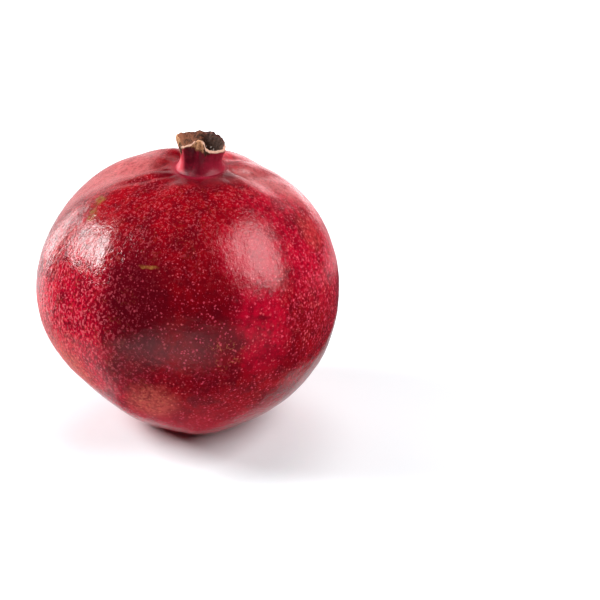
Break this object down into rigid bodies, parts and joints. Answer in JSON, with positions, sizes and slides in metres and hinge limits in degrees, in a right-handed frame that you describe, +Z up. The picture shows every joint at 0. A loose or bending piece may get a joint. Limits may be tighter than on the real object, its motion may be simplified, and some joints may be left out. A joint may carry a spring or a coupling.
{
  "type": "pomegranate",
  "caption": "Whole ripe pomegranate standing on its stem end, with a short hollow crown on top, dried stamens in the crown and a clipped stem stub underneath.",
  "frame": {"origin": "on the resting plane, under the middle of the fruit's bounding box", "axes": "+Z up through the crown, +X towards the side that the crown sits off centre, -Y the side that faces the viewer"},
  "size_m": [0.0977, 0.0963, 0.0997],
  "materials": {
    "rind_skin": "smooth waxy crimson skin with fine pale speckles and an uneven darker blush",
    "dry_stamen": "matte dry brown fibres",
    "stem_wood": "rough grey-brown dry stem with a pale cut face"
  },
  "bodies": {
    "root": {"rind": "rind_skin", "dried_stamens": "dry_stamen", "stem_stub": "stem_wood"}
  },
  "joints": []
}
